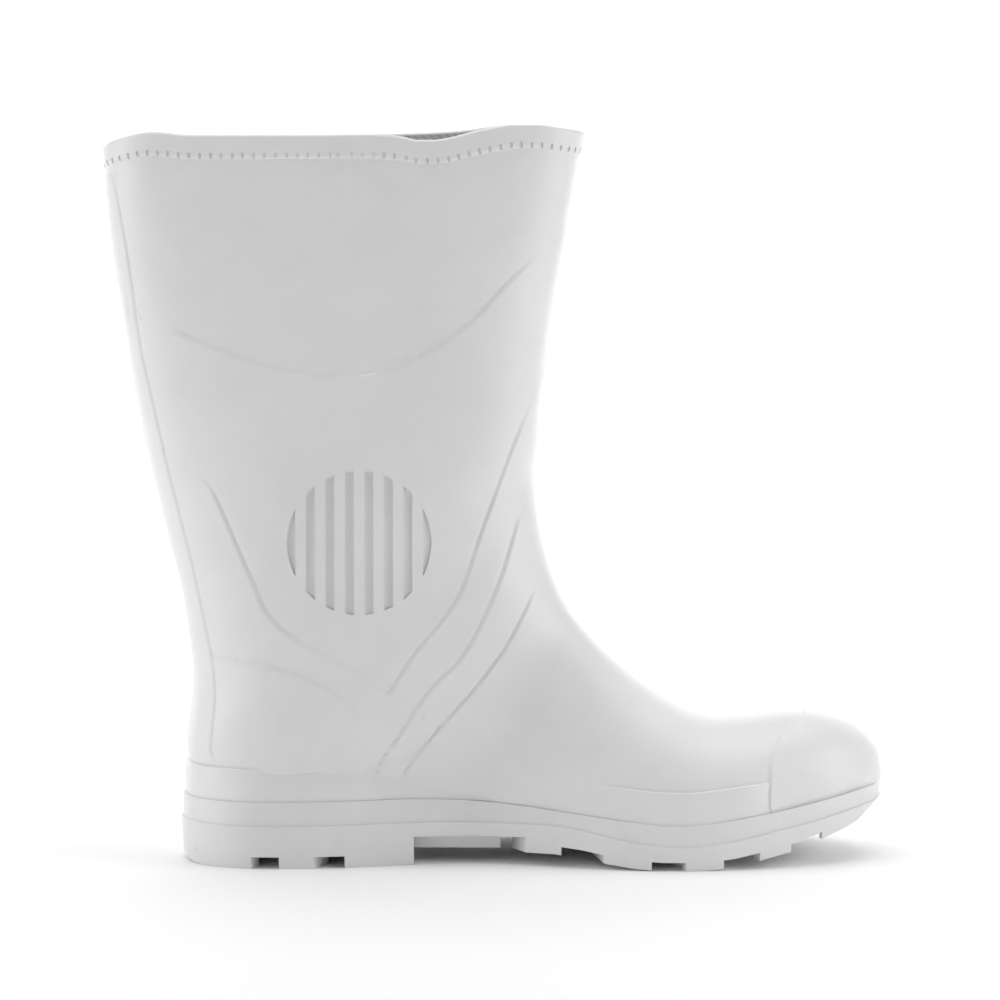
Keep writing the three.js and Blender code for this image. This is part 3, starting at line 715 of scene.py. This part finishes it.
class BootColours(bpy.types.PropertyGroup):
    upper: FloatVectorProperty(
        name="Upper", description="Colour of the moulded upper", subtype="COLOR",
        default=(0.785, 0.784, 0.79), min=0, max=1)
    sole: FloatVectorProperty(
        name="Sole", description="Colour of the moulded sole", subtype="COLOR",
        default=(0.765, 0.764, 0.77), min=0, max=1)
    lining: FloatVectorProperty(
        name="Lining", description="Colour of the textile lining", subtype="COLOR",
        default=(0.56, 0.565, 0.56), min=0, max=1)
    insole: FloatVectorProperty(
        name="Insole", description="Colour of the insole", subtype="COLOR",
        default=(0.5, 0.5, 0.49), min=0, max=1)
    plug: FloatVectorProperty(
        name="Heel plug", description="Colour of the plug in the heel", subtype="COLOR",
        default=(0.2, 0.21, 0.225), min=0, max=1)


def rim_height(u, turn):
    point = surface(u, turn)
    return point[..., 2] - rim_at(point[..., 0], point[..., 1])


def rim_rows(turns):
    """Row number at which each column of the loft reaches the rim."""
    low = np.full(turns.shape, ROW_COUNT - 5.0)
    high = np.full(turns.shape, ROW_COUNT - 1.0)
    for _ in range(40):
        middle = (low + high) / 2
        above = rim_height(middle, turns) > 0
        high = np.where(above, middle, high)
        low = np.where(above, low, middle)
    return (low + high) / 2


def loft_rows(shares, turns):
    """Row numbers of a grid whose last row runs along the rim."""
    bend = 19.0
    end = rim_rows(turns)
    u = shares[:, None] * (ROW_COUNT - 2.0)
    over = (u - bend) / (ROW_COUNT - 2.0 - bend)
    return np.where(u > bend, bend + over * (end[None, :] - bend), u)


def raised_points(u, turn, raise_at):
    points = surface(u, turn)
    height = raise_at(points)
    raised = points + outward(u, turn) * height[..., None]
    tip_row = u <= 0
    raised[tip_row] = points[tip_row] + np.array([1.0, 0, 0]) * height[tip_row][..., None]
    return raised


def lined_wall(name, u, turns, raise_at):
    """The outer wall: a grid made finer along the moulded lines, then laid out."""
    t = np.broadcast_to(turns[None, :], u.shape)
    rows, columns = u.shape
    deselect()
    bpy.ops.mesh.primitive_grid_add(x_subdivisions=columns - 1, y_subdivisions=rows - 1, size=1)
    obj = bpy.context.object
    obj.name = name
    mesh = obj.data
    mesh.name = name
    flat = np.stack([u, t, np.zeros(u.shape)], axis=-1)
    mesh.vertices.foreach_set("co", flat.astype(np.float32).ravel())
    centres = np.array([np.mean([mesh.vertices[i].co[:] for i in face.vertices], axis=0)
                        for face in mesh.polygons])
    points = surface(centres[:, 0], centres[:, 1])
    near = np.zeros(len(points), bool)
    for gap, shown in style_lines(points).values():
        near |= (np.abs(gap) < FINE_REACH) & (shown > 0.02)
    near &= (points[:, 2] > joint_at(points[:, 0])) & (points[:, 2] < 0.290)
    near &= (centres[:, 1] > 0.1) & (centres[:, 1] < 2 * math.pi - 0.1)
    bpy.ops.object.mode_set(mode="EDIT")
    bpy.ops.mesh.select_all(action="DESELECT")
    bpy.ops.object.mode_set(mode="OBJECT")
    mesh.polygons.foreach_set("select", near)
    bpy.ops.object.mode_set(mode="EDIT")
    bpy.ops.mesh.select_mode(type="FACE")
    bpy.ops.mesh.subdivide(number_cuts=3)
    bpy.ops.mesh.select_mode(type="VERT")
    bpy.ops.object.mode_set(mode="OBJECT")
    flat = np.empty(len(mesh.vertices) * 3)
    mesh.vertices.foreach_get("co", flat)
    flat = flat.reshape(-1, 3)
    turn = np.where(flat[:, 1] > 2 * math.pi - 0.001, 0, flat[:, 1])
    points = raised_points(flat[:, 0], turn, raise_at)
    points[:, 2] = np.maximum(points[:, 2], joint_at(points[:, 0]) + 0.00005)
    mesh.vertices.foreach_set("co", (points + SHIFT).astype(np.float32).ravel())
    mesh.update()
    return obj


def tick_slots(sizes):
    """Small upright bars round the lower edge of the hem, to be cut out."""
    turns = np.linspace(0, 2 * math.pi, 2001)[:-1]
    u = rim_rows(turns)
    # Walk down each column to the hem's lower edge
    for _ in range(6):
        gap = rim_height(u, turns) + sizes.hem_width - 0.0008
        rate = (rim_height(u + 0.01, turns) - rim_height(u - 0.01, turns)) / 0.02
        u = u - gap / rate
    path = surface(u, turns)
    normals = outward(u, turns)
    step = np.linalg.norm(np.roll(path, -1, axis=0) - path, axis=1)
    run = np.concatenate([[0], np.cumsum(step)])
    count = int(round(run[-1] / sizes.tick_pitch))
    deselect()
    bpy.ops.mesh.primitive_cube_add(size=1)
    bar = bpy.context.object
    bar.scale = (0.0013, 0.0030, 0.0027)
    bpy.ops.object.transform_apply(location=False, rotation=False, scale=True)
    bevel = bar.modifiers.new("soft_edges", "BEVEL")
    bevel.width = 0.0003
    bevel.segments = 2
    apply_modifiers(bar)
    bars = []
    for k in range(count):
        i = int(np.searchsorted(run, run[-1] * (k + 0.5) / count)) % len(path)
        ahead = Vector(path[(i + 3) % len(path)] - path[i - 3]).normalized()
        normal = Vector(normals[i])
        rise = ahead.cross(normal).normalized()
        normal = rise.cross(ahead).normalized()
        place = Vector(path[i] + SHIFT) + normal * 0.0015
        turn = Matrix((ahead, normal, rise)).transposed().to_4x4()
        copy = bar.copy()
        copy.data = bar.data.copy()
        copy.data.transform(Matrix.Translation(place) @ turn)
        bpy.context.collection.objects.link(copy)
        bars.append(copy)
    bpy.data.objects.remove(bar, do_unlink=True)
    return bars


# Rounding of the rim: share of the way to the inner wall, and lift in metres.
RIM_LIP = ((0.12, 0.0006), (0.32, 0.0010), (0.55, 0.0011), (0.8, 0.0008), (0.94, 0.0004))


class BOOT_OT_upper(bpy.types.Operator):
    """Builds the hollow upper with hem, back strip, toe cap, side band and lining"""
    bl_idname = "boot.upper"
    bl_label = "Upper"

    def execute(self, context):
        sizes = context.scene.boot_sizes
        colours = context.scene.boot_colours
        turns = np.linspace(0, 2 * math.pi, 157)
        shares = np.concatenate([np.linspace(0, 1, 12)[:-1] ** 1.6 * 0.06,
                                 np.linspace(0.06, 0.955, 126)[:-1],
                                 np.linspace(0.955, 0.998, 34)[:-1],
                                 np.linspace(0.998, 1, 3)])

        def outer_raise(p):
            return relief(p, sizes.hem_raise, sizes.hem_width) + creases(p)

        rows = loft_rows(shares, turns).astype(np.float32)
        turns32 = turns.astype(np.float32)
        obj = lined_wall("boot_upper", rows, turns32, outer_raise)
        inner_shares = np.concatenate([np.linspace(0, 1, 8)[:-1] ** 1.6 * 0.045,
                                       np.linspace(0.045, 1, 62)])
        u = loft_rows(inner_shares, turns)
        t = np.broadcast_to(np.append(turns[:-1], 0)[None, :], u.shape)
        inner = raised_points(u, t, lambda p: creases(p) - SHELL)
        inner[..., 2] = np.maximum(inner[..., 2], joint_at(inner[..., 0]) + 0.00022)
        # Rounded lip between the two walls
        end = rows[-1].astype(float)
        outside = raised_points(end, np.append(turns32[:-1], 0).astype(float), outer_raise)
        inside = inner[-1]
        lip = [outside]
        for share, lift in RIM_LIP:
            ring = outside * (1 - share) + inside * share
            ring[:, 2] += lift
            lip.append(ring)
        inner_wall = wrapped_grid("inner_wall", np.concatenate([lip, inner[::-1]]) + SHIFT)
        make_active(obj)
        inner_wall.select_set(True)
        bpy.ops.object.join()
        bpy.ops.object.mode_set(mode="EDIT")
        bpy.ops.mesh.select_all(action="SELECT")
        bpy.ops.mesh.remove_doubles(threshold=2e-6)
        bpy.ops.object.mode_set(mode="OBJECT")
        recalculate(obj)
        shell_material = white_moulding("white_upper", colours.upper, 0.40)
        set_material(obj, shell_material)
        obj.data.materials.append(knit_material("knit_lining", colours.lining, 180.0))
        self.line_inside(obj, inner)
        self.cut_marks(obj, sizes)
        self.add_band(obj, shell_material)
        deselect()
        make_active(obj)
        bpy.ops.object.shade_smooth_by_angle(angle=math.radians(38))
        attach(obj, "root")
        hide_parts("upper")
        return {"FINISHED"}

    def line_inside(self, obj, inner):
        """Gives the faces of the inner wall the lining."""
        points = (inner[:, :-1] + SHIFT).reshape(-1, 3)
        known = {tuple(np.round(p, 5)) for p in points}
        inside = [tuple(np.round(v.co[:], 5)) in known for v in obj.data.vertices]
        for face in obj.data.polygons:
            if all(inside[i] for i in face.vertices):
                face.material_index = 1

    def cut_marks(self, obj, sizes):
        """Sinks the ankle discs' grooves and the ticks under the rim."""
        mesh = obj.data
        tree = BVHTree.FromPolygons([v.co for v in mesh.vertices],
                                    [list(p.vertices) for p in mesh.polygons])
        centre = (DISC_X * SOLE_LENGTH + SHIFT[0], DISC_Z * BOOT_HEIGHT)
        pitch = 2 * DISC_RADIUS / (sizes.groove_count - 0.6)
        width = 0.44 * pitch
        cutters = []
        for side in (-1, 1):
            for i in range(sizes.groove_count):
                offset = (i - (sizes.groove_count - 1) / 2) * pitch
                cutters.append(self.groove(tree, centre, offset, width, side, sizes))
        cutters += tick_slots(sizes)
        deselect()
        for cutter in cutters:
            cutter.select_set(True)
        bpy.context.view_layer.objects.active = cutters[0]
        bpy.ops.object.join()
        tool = bpy.context.object
        modifier = obj.modifiers.new("sunken_marks", "BOOLEAN")
        modifier.operation = "DIFFERENCE"
        modifier.solver = "EXACT"
        modifier.object = tool
        apply_modifiers(obj)
        bpy.data.objects.remove(tool, do_unlink=True)

    def groove(self, tree, centre, offset, width, side, sizes):
        """A bar clipped by the disc whose floor follows the wall."""
        deselect()
        bpy.ops.mesh.primitive_cube_add(size=1)
        bar = bpy.context.object
        bpy.ops.object.mode_set(mode="EDIT")
        bpy.ops.mesh.select_all(action="SELECT")
        bpy.ops.mesh.subdivide(number_cuts=9)
        bpy.ops.object.mode_set(mode="OBJECT")
        for vertex in bar.data.vertices:
            dx = offset + vertex.co.x * width
            reach = math.sqrt(max(DISC_RADIUS ** 2 - dx * dx, 1e-8))
            x = centre[0] + dx
            z = centre[1] + 2 * vertex.co.z * reach
            hit = tree.ray_cast(Vector((x, side * 0.3, z)), Vector((0, -side, 0)))[0]
            if hit is None:
                raise RuntimeError("the ankle disc lies off the wall")
            near = vertex.co.y * side + 0.5
            vertex.co = (x, hit.y + side * (-sizes.groove_depth + near * 0.004), z)
        return bar

    def add_band(self, obj, material):
        """Joins the band over the joint line to the upper."""
        points = outline_points(5)
        x = points[:, 0]
        toe = 0.0012 * smooth(x, 0.241, 0.250)
        rings = []
        low = joint_at(x) + 0.00004
        top = band_at(x)
        profile = ((0.0, 0, 0.0), (0.0, 1, -0.0006), (0.00012, 1, -0.0002), (0.0004, 1, 0.0),
                   (0.0045, 1, -0.0001), (0.0045, 0, 0.0), (0.0, 0, 0.0))
        for inset, upper_end, lift in profile:
            flat = inset_ring(points, 2 * SIDE_STEP + inset + toe)
            height = (top if upper_end else low) + lift
            rings.append(np.column_stack([flat, height]))
        grid = np.array(rings)
        grid = np.concatenate([grid, grid[:, :1]], axis=1) + SHIFT
        band = wrapped_grid("side_band", grid)
        recalculate(band)
        set_material(band, material)
        deselect()
        band.select_set(True)
        obj.select_set(True)
        bpy.context.view_layer.objects.active = obj
        bpy.ops.object.join()


def weigh_edges(obj):
    """Marks sharp edges for rounding, those of the tread the most."""
    shape = bmesh.new()
    shape.from_mesh(obj.data)
    weight = shape.edges.layers.float.new("bevel_weight_edge")
    for edge in shape.edges:
        if len(edge.link_faces) != 2 or edge.calc_face_angle() < math.radians(28):
            continue
        rise = max(v.co.z - float(tread_at(v.co.x - SHIFT[0])) for v in edge.verts)
        edge[weight] = 1.0 if rise < 0.0068 else 0.35
    shape.to_mesh(obj.data)
    shape.free()


def softened_copy(name, node, width):
    """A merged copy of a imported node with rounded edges."""
    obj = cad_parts[node].copy()
    obj.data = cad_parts[node].data.copy()
    obj.parent = None
    obj.matrix_world = Matrix.Identity(4)
    obj.name = name
    obj.data.name = name
    bpy.context.collection.objects.link(obj)
    for key in list(obj.keys()):
        del obj[key]
    make_active(obj)
    bpy.ops.object.mode_set(mode="EDIT")
    bpy.ops.mesh.select_all(action="SELECT")
    bpy.ops.mesh.remove_doubles(threshold=2e-6)
    bpy.ops.mesh.dissolve_limited(angle_limit=math.radians(1.5))
    bpy.ops.object.mode_set(mode="OBJECT")
    weigh_edges(obj)
    bevel = obj.modifiers.new("rounded_edges", "BEVEL")
    bevel.width = width
    bevel.segments = 3
    bevel.limit_method = "WEIGHT"
    bevel.use_clamp_overlap = True
    apply_modifiers(obj)
    make_active(obj)
    bpy.ops.object.shade_smooth_by_angle(angle=math.radians(40))
    return obj


class BOOT_OT_sole(bpy.types.Operator):
    """Builds the lugged outsole with softened edges"""
    bl_idname = "boot.sole"
    bl_label = "Sole"

    def execute(self, context):
        width = context.scene.boot_sizes.edge_round
        obj = softened_copy("boot_outsole", "outsole", width)
        colour = context.scene.boot_colours.sole
        set_material(obj, white_moulding("white_sole", colour, 0.46, pits=True))
        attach(obj, "root")
        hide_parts("outsole")
        return {"FINISHED"}


class BOOT_OT_inside(bpy.types.Operator):
    """Finishes the insole and the heel plug"""
    bl_idname = "boot.inside"
    bl_label = "Insole and plug"

    def execute(self, context):
        colours = context.scene.boot_colours
        insole = softened_copy("boot_insole", "insole", 0.0006)
        set_material(insole, knit_material("felt_insole", colours.insole, 90.0))
        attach(insole, "root")
        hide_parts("insole")
        plug = softened_copy("boot_heel_plug", "heel_plug", 0.0002)
        set_material(plug, white_moulding("grey_plug", colours.plug, 0.55, pits=True))
        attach(plug, "root")
        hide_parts("heel_plug")
        return {"FINISHED"}


# Soft lights: name, place, aim, size and power in watts.
BOOT_MIDDLE = (0, 0, 0.15)
LIGHTS = [
    ("left_softbox", (-1.5, -0.3, 0.7), BOOT_MIDDLE, (1.0, 1.4), 10.5),
    ("right_softbox", (1.5, -0.5, 0.7), BOOT_MIDDLE, (1.0, 1.4), 11.5),
    ("top_softbox", (0.0, 0.25, 1.8), BOOT_MIDDLE, (2.0, 1.6), 19.5),
    ("left_back", (-1.4, 1.0, 1.2), (-1.2, 3.2, 0.4), (1.2, 1.2), 56.0),
    ("right_back", (1.4, 1.0, 1.2), (1.2, 3.2, 0.4), (1.2, 1.2), 56.0),
]


def soft_light(name, place, target, size, power):
    data = bpy.data.lights.new(name, "AREA")
    data.shape = "RECTANGLE"
    data.size, data.size_y = size
    data.energy = power
    light = bpy.data.objects.new(name, data)
    bpy.context.collection.objects.link(light)
    light.location = place
    aim = Vector(target) - Vector(place)
    light.rotation_euler = aim.to_track_quat("-Z", "Y").to_euler()
    return light


class BOOT_OT_stage(bpy.types.Operator):
    """Sets up the pale floor, the soft lights and the camera"""
    bl_idname = "boot.stage"
    bl_label = "Stage"

    def sweep(self):
        """A pale floor that curves up into a wall far behind the boot."""
        deselect()
        bpy.ops.mesh.primitive_grid_add(x_subdivisions=8, y_subdivisions=80, size=1)
        floor = bpy.context.object
        floor.name = "floor"
        flat, radius, front = 2.3, 0.9, -4.0
        bend = radius * math.pi / 2
        for vertex in floor.data.vertices:
            run = front + (vertex.co.y + 0.5) * (flat - front + bend + 2.4)
            turn = min(max((run - flat) / radius, 0), math.pi / 2)
            rise = max(run - flat - bend, 0)
            place = min(run, flat) + radius * math.sin(turn)
            vertex.co = (vertex.co.x * 9, place, radius * (1 - math.cos(turn)) + rise)
        bpy.ops.object.shade_smooth()
        return floor

    def execute(self, context):
        floor = self.sweep()
        material, tree, shader = new_material("pale_floor")
        coords = tree.nodes.new("ShaderNodeTexCoord").outputs["Object"]
        tone = noise_node(tree, coords, 3.0, 2.0)
        tree.links.new(tint_node(tree, tone, (0.945, 0.945, 0.945), (0.965, 0.965, 0.965)),
                       shader.inputs["Base Color"])
        shader.inputs["Roughness"].default_value = 0.7
        shader.inputs["Specular IOR Level"].default_value = 0.2
        set_material(floor, material)
        world = bpy.data.worlds.new("studio")
        context.scene.world = world
        world.use_nodes = True
        background = world.node_tree.nodes["Background"]
        background.inputs["Color"].default_value = (0.99, 0.99, 1.0, 1)
        background.inputs["Strength"].default_value = 0.29
        for light in LIGHTS:
            soft_light(*light)
        data = bpy.data.cameras.new("camera")
        data.sensor_width = 36
        data.lens = 2.36 * 1900 * 36 / 1000
        data.clip_start = 0.05
        camera = bpy.data.objects.new("camera", data)
        context.collection.objects.link(camera)
        camera.location = (-0.074, -1.9, 0.305)
        aim = Vector((0.002, 0, 0.151)) - camera.location
        camera.rotation_euler = aim.to_track_quat("-Z", "Y").to_euler()
        context.scene.camera = camera
        context.scene.view_settings.view_transform = "Standard"
        return {"FINISHED"}


class BOOT_PT_panel(bpy.types.Panel):
    bl_idname = "BOOT_PT_panel"
    bl_label = "Waterproof boot"
    bl_space_type = "VIEW_3D"
    bl_region_type = "UI"
    bl_category = "Boot"

    def draw(self, context):
        layout = self.layout
        for group_name in ("boot_sizes", "boot_colours"):
            values = getattr(context.scene, group_name)
            for key in type(values).__annotations__:
                layout.prop(values, key)
        for operator in OPERATORS:
            layout.operator(operator.bl_idname)


OPERATORS = (BOOT_OT_upper, BOOT_OT_sole, BOOT_OT_inside, BOOT_OT_stage)
CLASSES = (BootSizes, BootColours, *OPERATORS, BOOT_PT_panel)


def register():
    for cls in CLASSES:
        bpy.utils.register_class(cls)
    bpy.types.Scene.boot_sizes = PointerProperty(type=BootSizes)
    bpy.types.Scene.boot_colours = PointerProperty(type=BootColours)


def unregister():
    del bpy.types.Scene.boot_colours
    del bpy.types.Scene.boot_sizes
    for cls in reversed(CLASSES):
        bpy.utils.unregister_class(cls)


def main():
    register()
    bpy.ops.boot.upper()
    bpy.ops.boot.sole()
    bpy.ops.boot.inside()
    bpy.ops.boot.stage()


if __name__ == "__main__":
    main()
